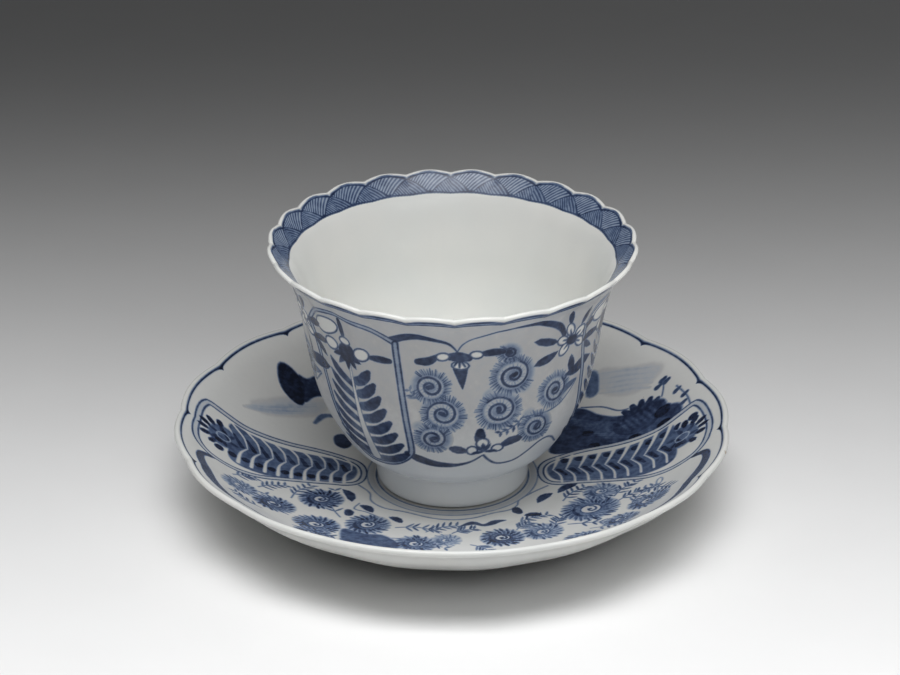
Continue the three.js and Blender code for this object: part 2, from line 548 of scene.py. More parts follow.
def paint_fern_flower(wall):
    """The flower on top of the fern: a dark heart, white petals and three buds."""
    heart = wall.spot(-42.3, 43)
    wall.wash(oval(heart, 6.0, 5.6, 70), tone=1.05)
    for turn in (200, 235, 275, 310, 340):
        leaf(wall, heart, from_point(heart, 4.6, turn), 1.7, 0.95)
    bud(wall, *wall.at((-42.6, 46.5), (-42.8, 52.3)), 1.7)
    bud(wall, *wall.at((-52.5, 43.6), (-62, 43)), 2.1)
    bud(wall, *wall.at((-32, 43.9), (-23.5, 44.3)), 2.1)
    petal(wall, wall.spot(-50, 44), 4.3, 3.3, 160)
    petal(wall, wall.spot(-35, 44.1), 4.2, 3.6, 20)
    petal(wall, wall.spot(-42.3, 46.2), 3.6, 2.3)
    petal(wall, wall.spot(-51.5, 48.7), 8.6, 5.0, 12)


def paint_top_border(wall):
    """The bracket-shaped line over the spiral flowers, with the flower that hangs from it."""
    swell = wall.at((-21.5, 50.8), (-17, 52), (-11, 52.5), (-5, 51.8), (-1, 50.6), (1.8, 48.4))
    wall.brush(swell, [2.2, 2.2, 1.7, 1.1, 0.7, 0.4], 0.95)
    rise = wall.at((1.8, 48.4), (3.5, 50.6), (7, 52.6), (12, 53.6), (17, 54.2), (22, 55),
                   (27, 54.8), (32, 53.9), (37, 52.4), (41, 50.3), (43.5, 48))
    wall.brush(rise, [0.4, 0.4, 0.5, 0.6, 0.7, 1.5, 2.3, 2.2, 1.6], [0.75, 0.75, 0.95, 0.95])

    calyx = wall.spot(2.6, 46.6)
    wall.brush(wall.at((-0.6, 47), (5.6, 46.9)), [2.2, 3.2, 2.2], 0.95)
    bud(wall, *wall.at((-5.5, 47.3), (-13, 45)), 2.4, bend=0.12)
    bud(wall, *wall.at((10, 47.9), (18.3, 47.6)), 2.2)
    wall.brush(wall.at((3, 43.6), (3.4, 41.4), (3.9, 38.2)), [3.6, 2.6, 1.6, 0.3])
    petal(wall, wall.spot(-3.6, 47), 3.3, 2.3, 5)
    petal(wall, wall.spot(8.7, 47.7), 3.2, 2.2, -5)
    petal(wall, wall.spot(2.9, 44.6), 4.2, 2.4)
    for turn in (240, 270, 300):
        wall.brush([calyx, from_point(calyx, 2.6, turn)], [0.9, 0.4], 0.95)


def paint_bottom_border(wall):
    """The wavy line under the spiral flowers, with the flower that stands on it."""
    swell = wall.at((-20.5, 17.5), (-15, 15.6), (-9, 14.4), (-3, 14.1), (3, 14.4), (9, 15.6),
                    (13.5, 17.6))
    wall.brush(swell, [1.6, 2.6, 2.4, 1.9, 1.0, 0.6, 0.4], [0.95, 0.95, 0.9, 0.7])
    wave = wall.at((14, 17.6), (17, 15.3), (21, 13.4), (26, 12.8), (31, 13.2), (36, 15.2),
                   (41, 17.6), (46, 18.2), (51, 17), (57, 14.2), (60, 13))
    wall.brush(wave, 0.55, 0.75)
    heart = wall.spot(14, 19)
    bud(wall, *wall.at((11.7, 22), (11.4, 25.8)), 2.7)
    leaf(wall, *wall.at((7, 19.4), (-1.5, 20.8)), 2.6, 0.9)
    leaf(wall, *wall.at((20.5, 19.8), (30.5, 21.4)), 2.8, 0.95, bend=0.1)
    petal(wall, wall.spot(8.6, 19.8), 2.6, 3.0)
    petal(wall, wall.spot(12.8, 22), 3.2, 3.0, 90)
    petal(wall, wall.spot(19.6, 19.6), 2.8, 2.6)
    for turn in (60, 95, 130, 185, 355):
        leaf(wall, heart, from_point(heart, 2.9, turn), 1.1, 0.9)


def paint_big_flower(wall):
    """The open flower at the panel's upper corner, with dark leaves pointing all round."""
    heart = wall.spot(48.7, 45.4)
    leaves = [(95, 4.6, 10.2, 2.1), (50, 4.4, 10.4, 1.9), (14, 4.4, 10.2, 2.3),
              (-33, 4.6, 10.8, 2.0), (-88, 4.4, 9.6, 2.4), (200, 5.0, 12.2, 2.4),
              (166, 5.0, 11.8, 2.4)]
    for turn, inner, outer, width in leaves:
        leaf(wall, from_point(heart, inner, turn), from_point(heart, outer, turn), width)
    for turn in (100, 32, -28, 218, 166):
        petal(wall, from_point(heart, 3.3, turn), 3.9, 2.7, turn)
        inner = from_point(heart, 3.1, turn)
        wall.brush([from_point(heart, 1.5, turn), inner], [0.7, 0.3], 0.8)
    wall.wash(oval(heart, 3.8, 3.0, 0), tone=1.1)


def paint_spiral_flowers(wall):
    """The curled flowers that fill the panel, in three loose columns."""
    flowers = [(-8.5, 38.3, 3.3, 200), (-3.8, 31, 3.8, 160), (-8.2, 23.6, 3.0, 20),
               (23, 40.3, 3.9, 30), (18.5, 31.2, 3.9, 100),
               (43, 33, 3.6, 10), (36, 23.8, 3.3, 60)]
    for degrees, up, radius, start in flowers:
        spiral_flower(wall, wall.spot(degrees, up), radius, start)
    spiral_flower(wall, wall.spot(20.8, 46.9), 1.5, 120, hair=2.0, sweep=200)
    leaf(wall, *wall.at((48, 35.8), (66, 36.8)), 3.4)
    leaf(wall, *wall.at((45, 29.5), (57, 33)), 2.2, 0.7, bend=0.1)
    vine = wall.at((28, 27.5), (34, 27.6), (41, 27.4), (47, 28), (52, 30), (57, 32.6))
    wall.brush(vine, 0.45, 0.7)
    spray(wall, *wall.at((29, 28), (20, 24.6)), 0.75, leaves=4, length=1.8)
    spray(wall, *wall.at((-13, 34.4), (-16.5, 36.8)), 0.65, leaves=3, length=2)
    for degrees, up in ((-14, 27), (-2, 26.8), (28.5, 36), (14, 36.5), (31, 28.5)):
        wall.wash(oval(wall.spot(degrees, up), 3.6, 2.4, 30), tone=0.28, soft=1.4)


def paint_cup_wall(cup, arc):
    """The whole pattern, repeated round the wall. arc is how far up the wall each row is."""
    for repeat in range(CUP_REPEATS):
        wall = Wall(cup, arc, 360 / CUP_REPEATS * repeat)
        paint_spiral_flowers(wall)
        paint_top_border(wall)
        paint_bottom_border(wall)
        paint_big_flower(wall)
        paint_fern_panel(wall)


def paint_lip_lines(cup, arc):
    """The double line under the lip, dipping at each cusp, with a paler tone between."""
    below = arc[-1] - arc[:, None] - 0.5 * cup.cusp**2
    blue = cup.blue[cup.outside]
    shade = 1.05 - 0.3 * cup.cusp
    between = np.clip((below - 0.3) / 0.25, 0, 1) * np.clip((1.5 - below) / 0.25, 0, 1)
    layers = [(between, 0.55), (line(below, 0.3, 0.8), shade), (line(below, 1.5, 0.6), 0.95)]
    for cover, tone in layers:
        np.maximum(blue, cover * tone, out=blue)


def paint_rim_band(cup, depth):
    """The band inside the lip: a hatched triangle hangs under each lobe, others stand between."""
    inside = cup.blue[cup.inside]
    lobe = ((cup.angle - CUP_FIRST_CUSP) * CUP_LOBES / (2 * np.pi)) % 1 - 0.5
    wide = 2 * np.pi * CUP_RADIUS / CUP_LOBES
    across = lobe * wide
    down = depth[:, None] - 0.1 - 0.6 * cup.cusp
    bottom = RIM_BAND_DEPTH - depth[:, None]
    share = (depth[:, None] - 0.7) / (RIM_BAND_DEPTH - 0.7)
    edge = np.abs(across) - wide / 2 * (1 - share)
    hanging = edge < 0
    one_way = (0.95 * down - across) / 1.02
    other_way = (0.8 * down + across) / 0.95
    hatch = np.cos(2 * np.pi * np.where(hanging, one_way, other_way))
    tone = np.where(hanging, 0.76, 0.86) - 0.42 * np.clip(0.4 + 0.9 * hatch, 0, 1)
    tone = np.maximum(tone, line(edge, 0, 0.45))
    tone = np.maximum(tone, line(down, 0.15, 0.75))
    tone = np.maximum(tone, 0.95 * line(bottom, 0.3, 0.55))
    spots = np.exp(-((across / 0.7) ** 2) - ((bottom - 0.5) / 0.6) ** 2)
    tone = np.maximum(tone, 1.05 * spots)
    cover = np.clip((down + 0.25) / 0.25, 0, 1) * np.clip(bottom / 0.25 + 0.5, 0, 1)
    np.maximum(inside, cover * tone, out=inside)


# The saucer's decoration. Places on it are millimetres across and back, seen from above.


def mirrored(points, side):
    """The points as they are where side is 1, or swapped left for right where it is -1."""
    return [(side * x, y) for x, y in points]


def paint_saucer_fern(dish, side):
    """A long fern panel beside the cup, with a flower at its outer end."""
    outline = [(57.5, 14), (50, 12.6), (40, 12), (32, 10.6), (25, 7.6), (21.8, 4), (21.3, -1),
               (23.5, -4.6), (30, -4.8), (40, -5.6), (48, -8.2), (56, -8.8), (60.2, -5.6),
               (61.6, 0.5), (61, 8), (59.6, 13)]
    double_outline(dish, mirrored(outline, side), 1.3)
    frond = [(23.2, 3.6), (27, 7), (34, 8.4), (42, 9.8), (49, 10.8), (53.5, 11.2), (54, 4),
             (53, -4.6), (46, -6), (36, -4.2), (26, -3.6), (23.2, -1)]
    dish.wash(mirrored(frond, side), tone=0.74, soft=0.5)
    for i in range(10):
        base = 24.2 + 3.15 * i
        middle = 1.9 + 0.25 * min(i, 7)
        lean = 1.6 + 0.28 * i
        back = mirrored([(base, middle), (base + 0.5 * lean, middle + 2.6 + 0.14 * i),
                         (base + lean, middle + 6.3 + 0.2 * i)], side)
        front = mirrored([(base, middle), (base + 1.6, middle - 2.4 - 0.1 * i),
                          (base + 1.8, middle - 6.2 - 0.25 * i)], side)
        tipped, plain = (front, back) if side < 0 else (back, front)
        dish.brush([(x + 1.4 * side, y) for x, y in plain[:2]], [1.5, 1.0], 1.15)
        dish.brush([(x + 1.5 * side, 0.7 * y + 0.3 * middle) for x, y in tipped[2:]], 2.3, 1.25)
        dish.brush(bent(plain[0], plain[-1], 0.12 * side), [0.25, 0.5, 0.6], 0.06, lift=True)
        dish.brush(tipped, [0.3, 0.7, 1.0], 0.06, lift=True)
    paint_saucer_fern_flower(dish, side)


def paint_saucer_fern_flower(dish, side):
    """The flower at the outer end of a fern panel, with dark leaves fanned out from it."""
    flower = (side * 55.3, 3.6)
    for turn in (-62, -32, -4, 24, 52, 80):
        way = turn if side > 0 else 180 - turn
        leaf(dish, from_point(flower, 3.4, way), from_point(flower, 6.2, way), 1.7, 1.25)
    dish.wash(oval(flower, 7.4, 9.2, 10 * side), tone=0.72, soft=0.8)
    for turn in range(30, 390, 60):
        stroke = [from_point(flower, 1.4, turn), from_point(flower, 3.6, turn + 12)]
        dish.brush(stroke, [0.6, 1.5, 0.8])
    dish.brush(oval(flower, 3.4, 3, 0), 0.35, 0.3, lift=True, closed=True)
    dish.wash(oval(from_point(flower, 2.6, 250), 2.4, 2.2, 0), tone=1.25)


def paint_saucer_rings(saucer):
    """The line along the lobed lip, with a spot at each cusp, and the rings round the foot, the
    first a painted shadow.
    """
    upper = slice(saucer.lip.start, saucer.inside.stop)
    blue = saucer.blue[upper]
    radii = saucer.section[:, :1]
    out = radii[upper]
    cusp = saucer.cusp
    cover = line(out, 64.35 - 0.35 * cusp**10, 0.3 + 0.8 * cusp**12)
    wet = 1.35 + 0.1 * np.sin(5 * saucer.angle)
    np.maximum(blue, cover * wet, out=blue)
    # The first ring, just outside the cup's foot, is a painted contact shadow; the other two are
    # the pattern's pale ring and thin line.
    for radius, width, tone in ((18.2, 0.4, 0.75), (19.4, 1.3, 0.14), (20.4, 0.35, 0.6)):
        np.maximum(blue, line(out, radius, width, 0.4) * tone, out=blue)
    saucer.blue[saucer.lip] *= radii[saucer.lip] < SAUCER_RADIUS - 0.9


def paint_garden_border(dish):
    """The thin line that closes the garden round the foot, and its brush-loaded outer ends."""
    inner = [(-22.5, -5.5), (-19.8, -9.5), (-19.2, -13.5), (-16, -17), (-11, -19), (-5, -21.8),
             (0, -22.6), (5, -21.6), (9.5, -19.2), (13.5, -17.6), (15.2, -15.4), (15.6, -13),
             (18.5, -9.5), (22.5, -6)]
    dish.brush(inner, 0.4, 0.6)
    for side in (-1, 1):
        turns = np.radians(np.linspace(74, 12, 9))
        outer = [(61.2 * np.sin(turn), -61.2 * np.cos(turn)) for turn in turns]
        path = mirrored([(56.6, -9.2), (59.2, -11.6), *outer], side)
        dish.brush(path, [1.4, 2.6, 1.6, 0.8, 0.5, 0.5], [1.0, 0.95, 0.8])
    dish.brush([(-12.7, -59.9), (-6, -58.4), (0, -57), (6, -58.4), (12.7, -59.9)], 0.5, 0.75)


def paint_garden_flowers(dish):
    """Chrysanthemums in front of the cup, scattered near it and in a row along the lip."""
    flowers = [(-31, -13.6, 5.1, 1.05), (-41.5, -21.4, 4.9, 0.95), (-31.5, -28.4, 5.4, 0.95),
               (-19.5, -25.8, 5.2, 0.95), (-8.6, -36, 4.8, 0.9), (11.5, -32.2, 5.0, 1.05),
               (21, -30, 4.6, 0.8), (32.5, -19.5, 6.8, 0.9), (-50, -18.6, 4.2, 0.7),
               (-1.5, -33.5, 3.4, 0.7), (35, -10.6, 4.2, 0.75), (46, -23, 4.8, 0.85)]
    for x, y, radius, tone in flowers:
        chrysanthemum(dish, (x, y), radius, tone)
    for turn in (-42, -27, -11, 6, 22, 38, 52):
        x, y = from_point((0, 0), 49.5 + 1.5 * np.cos(5 * np.radians(turn)), turn - 90)
        chrysanthemum(dish, (x, y), 4.9 - 0.015 * abs(turn), 0.85)
    for turn in (-35, -19, -3, 14, 30, 45):
        base = from_point((0, 0), 45, turn - 90)
        spray(dish, base, from_point((0, 0), 55, turn - 88), 0.7, leaves=6, length=3.2)


def paint_garden_leaves(dish):
    """A rock, and loose leaves and twigs round the cup's foot."""
    rock = [(-25.5, -29), (-20, -31), (-16, -31.5), (-12.5, -36), (-13, -39.5), (-19, -40.5),
            (-25, -39)]
    dish.wash(rock, tone=0.8, soft=0.8)
    leaves = [((-26.2, -7.6), (-23.8, -13.6), 2.3), ((-21.8, -15.4), (-18.6, -19), 2.1),
              ((-24.6, -18), (-24.2, -21.4), 2.3), ((-14.6, -21.4), (-11.6, -24.2), 2.0),
              ((16.2, -19.4), (14.8, -16.6), 2.4), ((17, -20.4), (21, -20.6), 2.3),
              ((20, -14.4), (23.4, -9.8), 2.3), ((24.8, -9.6), (29.6, -5.4), 2.4)]
    for start, end, width in leaves:
        leaf(dish, start, end, width, 1.05, bend=0.1)
    knotted = [(2, -25.6), (5, -24), (7.5, -25), (10.5, -23.2), (12.6, -22.6)]
    dish.brush(knotted, [0.4, 1.6, 0.9, 1.9, 0.3], 0.9)
    dish.brush([(-22, -14.5), (-23, -17.5), (-20, -19), (-17, -21.5)], 0.4, 0.6)


def paint_garden_sprays(dish):
    """Small sprays between the chrysanthemums, and a bud on the right."""
    sprays = [((-13, -27), (-4, -28)), ((-6, -29), (1, -25.5)), ((0, -29.5), (5, -27)),
              ((24, -28), (26, -22.5)), ((15, -28), (18, -25)), ((-46, -14), (-40, -9)),
              ((-38, -15), (-34, -7.5)), ((-52, -13), (-47, -9.5)), ((42, -22), (47, -14)),
              ((38, -14), (43, -8.6)), ((44, -14), (51, -20)), ((26, -14), (31, -8)),
              ((-44, -28), (-50, -25)), ((-26, -22.5), (-28, -8.5)), ((27, -27), (38, -31)),
              ((15, -25), (22, -21)), ((-38, -26), (-44, -17)), ((-14, -33), (-2, -38)),
              ((39, -17), (45, -14)), ((4, -36), (8, -40)), ((-37, -34), (-26, -36))]
    for base, tip in sprays:
        spray(dish, base, tip, 0.75)
    petal(dish, (48.6, -12.6), 3.4, 1.4, 80, 0.5)
    dish.brush([(48.4, -14.4), (48, -20), (47, -25)], 0.4, 0.5)


def paint_left_bank(dish):
    """Dark rocks on the left behind the cup, and pale water in front of them."""
    dish.wash([(-39, 38), (-36.4, 38.4), (-34, 40.4), (-31, 39.6), (-29, 36), (-34, 33.6),
               (-37, 30.4)], tone=1.15, soft=0.6)
    dish.wash([(-43.4, 38.6), (-41.4, 39.8), (-38.4, 38.2), (-36.6, 35.6), (-36.8, 30),
               (-38.2, 28.9), (-40.4, 30.2), (-42.8, 33.4)], tone=1.35, soft=0.6)
    dish.wash([(-38, 32), (-31, 33), (-33, 27), (-40, 23.6), (-47, 21), (-50, 23), (-45, 27.4)],
              tone=0.18, soft=3.5)
    for i in range(5):
        ripple = [(-33 - i, 31.4 - 1.3 * i), (-41 - i, 27.2 - 1.1 * i),
                  (-49 - 0.6 * i, 22.6 - 0.6 * i)]
        dish.brush(ripple, [0.6, 1.6, 0.6], 0.26 + 0.05 * (i % 2), soft=1.0)
    dish.brush([(-34, 23.4), (-32, 27), (-29, 27.5)], [1.0, 1.8, 1.2], 0.65, soft=0.6)
    dish.wash([(-29, 18.5), (-26.5, 19.5), (-24.5, 15.5), (-26, 12.8), (-28.5, 14.5)], tone=1.05)


def paint_right_bank(dish):
    """Pale water and a small rock on the right behind the cup."""
    dish.wash([(37, 40.6), (44, 38.4), (51.4, 34.4), (52, 31.4), (47, 29), (41, 30.6), (37, 34)],
              tone=0.16, soft=3.0)
    for i in range(5):
        ripple = [(37, 39.6 - 1.5 * i), (44, 37.4 - 1.5 * i), (51 - 0.6 * i, 33.4 - 1.2 * i)]
        dish.brush(ripple, [0.6, 1.4, 0.6], 0.22, soft=0.9)
    dish.wash([(34, 40.5), (36.8, 40), (36.6, 34), (33.6, 33.4)], tone=0.75, soft=0.8)


def paint_hill(dish):
    """A dark hill on the right with paler streaks, a bush on it and rocks at its foot."""
    hill = [(24, 10.5), (26.5, 20), (29.5, 29), (32.5, 29.4), (36, 26), (40, 23.6), (44, 22.6),
            (55.5, 18), (54.5, 11.8), (48, 10.6), (36, 10.4)]
    dish.wash(hill, tone=1.0, soft=0.7)
    for i in range(9):
        streak = [(26.5 + 1.3 * i, 27 - 1.4 * i), (42 + i, 20 - i), (53, 15 - 0.4 * i)]
        dish.brush(streak, [0.5, 1.2, 0.5], 0.8, soft=0.6, lift=True)
    bush = (45.8, 19.4)
    dish.wash(oval(bush, 14, 10, 12), tone=1.0, soft=0.8)
    for turn in range(-20, 190, 21):
        dish.brush([from_point(bush, 4.6, turn), from_point(bush, 6.2, turn)], [2.2, 1.4])
    for i in range(6):
        x, y = 40.8 + 1.5 * i, 21 + 0.3 * i
        dish.brush([(x, y), (x + 2.6, y - 4.6)], [0.4, 0.8, 0.4], 0.8, soft=0.5, lift=True)
    rocks = [(33, 18.6, 1.8), (34.6, 12.6, 1.8), (44.6, 12.8, 1.9), (51.6, 18.4, 2.3),
             (51.8, 13.4, 2.1)]
    for x, y, radius in rocks:
        dish.wash(oval((x, y), 2 * radius, 1.8 * radius, 0), tone=1.35, soft=0.7)


def paint_reeds(dish):
    """Thin stalks round the hill, with short strokes for their leaves."""
    dish.brush([(32, 30), (37, 28.6), (40.6, 25.6), (43, 25)], 0.45, 0.75)
    dish.brush([(51.4, 23.6), (51.8, 26), (51.8, 28)], 0.4, 0.8)
    leaves = [(50.2, 27.2), (52.2, 27.4), (51.4, 28.4), (54.8, 22.4), (56.8, 19.4), (56.2, 16.8)]
    for x, y in leaves:
        dish.brush([(x, y), (x + 0.9, y + 0.3)], [1.4, 1.0], 0.95)
    dish.brush([(55, 24), (57.4, 19), (58, 15)], 0.4, 0.7)


def paint_far_shore(dish):
    """The part of the landscape straight behind the cup: hills, water and a few reeds."""
    hills = [(-26, 47), (-16, 52.5), (-9, 49.5), (-2, 54), (8, 50), (15, 52), (26, 46),
             (12, 45.2), (-12, 45.2)]
    dish.wash(hills, tone=0.5, soft=1.2)
    for i in range(7):
        reach, y = 15 - 1.4 * i, 42 - 3 * i
        dish.brush([(-reach, y), (0, y + 0.6), (reach, y)], [0.5, 1.3, 0.5], 0.22, soft=0.8)
    for x in (-20, -16, 17, 21):
        spray(dish, (x, 30), (x + 2, 41), 0.8, leaves=6, length=3)


def paint_saucer(saucer):
    """The garden in front, the landscape behind, a fern on each side and the rings, one a painted
    shadow.
    """
    radii = saucer.section[saucer.inside, :1]
    x = radii * np.sin(saucer.angle)
    y = -radii * np.cos(saucer.angle)
    painted = np.hypot(x, y) > SAUCER_RINGS_FROM
    blue = saucer.blue[saucer.inside]
    dish = Patch(x + 0.2 * np.sin(y / 5), y + 0.2 * np.sin(x / 6), blue, painted)
    paint_garden_flowers(dish)
    paint_garden_leaves(dish)
    paint_garden_sprays(dish)
    paint_garden_border(dish)
    paint_left_bank(dish)
    paint_right_bank(dish)
    paint_hill(dish)
    paint_reeds(dish)
    paint_far_shore(dish)
    for side in (-1, 1):
        paint_saucer_fern(dish, side)
    paint_saucer_rings(saucer)


# The pieces.


def shares(pairs, radius, height, inward=0):
    """Stations from shares of a radius and a height, moved inward by a wall's thickness."""
    return [(out * radius - inward, up * height) for out, up in pairs]


def saucer_shape():
    """The saucer's section: foot ring, outer wall, lip, inner wall and flat well."""
    under_well = SAUCER_WELL_HEIGHT - SAUCER_WELL_THICKNESS
    outer = [(0.66, 0.18), (0.78, 0.38), (0.89, 0.63), (0.96, 0.84)]
    inner = [(0.93, 0.86), (0.86, 0.68), (0.76, 0.475), (0.62, 0.315)]
    outside = curve([
        (SAUCER_FOOT_RADIUS + 0.4, under_well),
        *shares(outer, SAUCER_RADIUS, SAUCER_HEIGHT),
        (SAUCER_RADIUS - 0.5, SAUCER_HEIGHT - 1.5),
    ], PLAIN_SPACING)
    wall = curve([
        (SAUCER_RADIUS - SAUCER_LIP, SAUCER_HEIGHT - 0.6),
        *shares(inner, SAUCER_RADIUS, SAUCER_HEIGHT),
        (SAUCER_WELL_RADIUS, SAUCER_WELL_HEIGHT),
    ], PAINTED_SPACING)
    painted_edge = (SAUCER_RINGS_FROM, SAUCER_WELL_HEIGHT)
    rings = np.array([(SAUCER_WELL_RADIUS, SAUCER_WELL_HEIGHT), painted_edge])
    centre = np.array([painted_edge, (1, SAUCER_WELL_HEIGHT)])
    inside = [wall, evenly(rings, PAINTED_SPACING)[1:], evenly(centre, 1)[1:]]
    return Turned(
        ring_foot(SAUCER_FOOT_RADIUS, SAUCER_FOOT_WIDTH, under_well),
        outside,
        lip_arc(SAUCER_RADIUS, SAUCER_HEIGHT, SAUCER_LIP),
        np.concatenate(inside),
        SAUCER_COLUMNS, SAUCER_LOBES, SAUCER_FIRST_CUSP)


def make_saucer():
    """The painted saucer, with its cusps deepest and sharpest at the lip."""
    saucer = saucer_shape()
    # Painted shade: a faint grey tone over the whole inside of the saucer.
    saucer.blue[saucer.inside] = SAUCER_PAINTED_SHADE
    paint_saucer(saucer)
    radius, height = saucer.section.T
    depth = SAUCER_CUSP_DEPTH * smoothstep(radius / SAUCER_RADIUS, 0.55, 1)
    drop = SAUCER_CUSP_DROP * smoothstep(height / SAUCER_HEIGHT, 0.3, 1)
    crisp = smoothstep(radius / SAUCER_RADIUS, 0.82, 0.97)
    piece = ring_mesh("saucer_porcelain", saucer.points(depth, drop, crisp, 0), saucer.blue)
    bare_below = 0.35
    coat = glaze("saucer_glaze", SAUCER_SHADED_WHITE, bare_below, SAUCER_CHIP, SAUCER_CHIP_RADIUS)
    piece.data.materials.append(coat)
    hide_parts("saucer")
    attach(piece, "saucer")


def cup_shape():
    """The cup's section: ring foot, outer wall, lip and inner wall."""
    outer = [(0.482, 0.142), (0.598, 0.218), (0.729, 0.39), (0.79, 0.565), (0.832, 0.743),
             (0.894, 0.89)]
    inner = [(0.832, 0.75), (0.79, 0.57), (0.729, 0.4), (0.59, 0.262), (0.4, 0.198)]
    outside = curve([
        (CUP_FOOT_RADIUS + 0.4, CUP_RECESS),
        *shares(outer, CUP_RADIUS, CUP_HEIGHT),
        (CUP_RADIUS - 0.4, CUP_HEIGHT - 1.2),
    ], PAINTED_SPACING)
    inside = curve([
        (CUP_RADIUS - CUP_LIP, CUP_HEIGHT - 0.5),
        (0.894 * CUP_RADIUS - CUP_WALL + 0.5, 0.9 * CUP_HEIGHT),
        *shares(inner, CUP_RADIUS, CUP_HEIGHT, CUP_WALL),
        (0.15 * CUP_RADIUS, CUP_FLOOR),
    ], PAINTED_SPACING / 1.4)
    band = inside[arc_length(inside) < RIM_BAND_DEPTH + 1]
    plain = inside[len(band)::5]
    return Turned(
        ring_foot(CUP_FOOT_RADIUS, CUP_FOOT_WIDTH, CUP_RECESS),
        outside,
        lip_arc(CUP_RADIUS, CUP_HEIGHT, CUP_LIP),
        np.concatenate([band, plain]),
        CUP_COLUMNS, CUP_LOBES, CUP_FIRST_CUSP)


def make_cup():
    """The painted cup, whose wall is fluted outside and nearly smooth inside."""
    cup = cup_shape()
    arc = arc_length(cup.section[cup.outside])
    # Painted shade on the outer wall, rising from none at the foot to full about 40 mm up the
    # wall.
    cup.blue[cup.outside] = CUP_PAINTED_SHADE * smoothstep(arc, 0, 40)[:, None]
    paint_cup_wall(cup, arc)
    paint_lip_lines(cup, arc)
    paint_rim_band(cup, arc_length(cup.section[cup.inside]))
    height = cup.section[:, 1]
    depth = CUP_CUSP_DEPTH * smoothstep(height / CUP_HEIGHT, 0.25, 1)
    near_lip = smoothstep(height[cup.inside] / CUP_HEIGHT, 0.9, 0.99)
    depth[cup.inside] *= INNER_FLUTE_SHARE + (1 - INNER_FLUTE_SHARE) * near_lip
    drop = CUP_CUSP_DROP * smoothstep(height / CUP_HEIGHT, 0.9, 1)
    crisp = smoothstep(height / CUP_HEIGHT, 0.86, 0.97)
    piece = ring_mesh("cup_porcelain", cup.points(depth, drop, crisp, CUP_BASE), cup.blue)
    bare_below = CUP_BASE + 0.25
    coat = glaze("cup_glaze", CUP_LIT_WHITE, bare_below, CUP_SPECK, CUP_SPECK_RADIUS)
    piece.data.materials.append(coat)
    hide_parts("cup")
    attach(piece, "cup")


# Materials.


class Nodes:
    """A short way to add and join shader nodes."""

    def __init__(self, material):
        material.use_nodes = True
        self.tree = material.node_tree
        self.tree.nodes.clear()

    def add(self, kind, inputs=None, **settings):
        node = self.tree.nodes.new(kind)
        for name, value in settings.items():
            setattr(node, name, value)
        for name, value in (inputs or {}).items():
            if isinstance(value, bpy.types.NodeSocket):
                self.tree.links.new(value, node.inputs[name])
            else:
                node.inputs[name].default_value = value
        return node

    def math(self, operation, first, second):
        return self.add("ShaderNodeMath", {0: first, 1: second}, operation=operation).outputs[0]

    def remap(self, value, low, high, to_low=0.0, to_high=1.0):
        inputs = {"Value": value, "From Min": low, "From Max": high,
                  "To Min": to_low, "To Max": to_high}
        return self.add("ShaderNodeMapRange", inputs).outputs["Result"]

    def noise(self, place, scale, detail):
        node = self.add("ShaderNodeTexNoise", {"Vector": place, "Scale": scale, "Detail": detail})
        return node.outputs["Fac"]

    def ramp(self, value, stops):
        node = self.add("ShaderNodeValToRGB", {"Fac": value})
        elements = node.color_ramp.elements
        while len(elements) < len(stops):
            elements.new(0.5)
        for element, (position, colour) in zip(elements, stops):
            element.position = position
            element.color = (*colour, 1)
        return node.outputs["Color"]

    def mix(self, share, first, second):
        """A mix of colours. Of the node's sets of sockets only the colour ones are enabled."""
        node = self.add("ShaderNodeMix", data_type="RGBA")
        for name, value in (("Factor", share), ("A", first), ("B", second)):
            socket = next(s for s in node.inputs if s.name == name and s.enabled)
            if isinstance(value, bpy.types.NodeSocket):
                self.tree.links.new(value, socket)
            else:
                socket.default_value = (*value, 1) if isinstance(value, tuple) else value
        return next(s for s in node.outputs if s.enabled)


def stain(nodes, place, spot, radius):
    """1 at a spot on the piece, fading to 0 at radius; both are in millimetres."""
    away = nodes.add("ShaderNodeVectorMath", operation="DISTANCE")
    nodes.tree.links.new(place, away.inputs[0])
    away.inputs[1].default_value = [value * MM for value in spot]
    return nodes.remap(away.outputs["Value"], radius * MM, 0.4 * radius * MM)


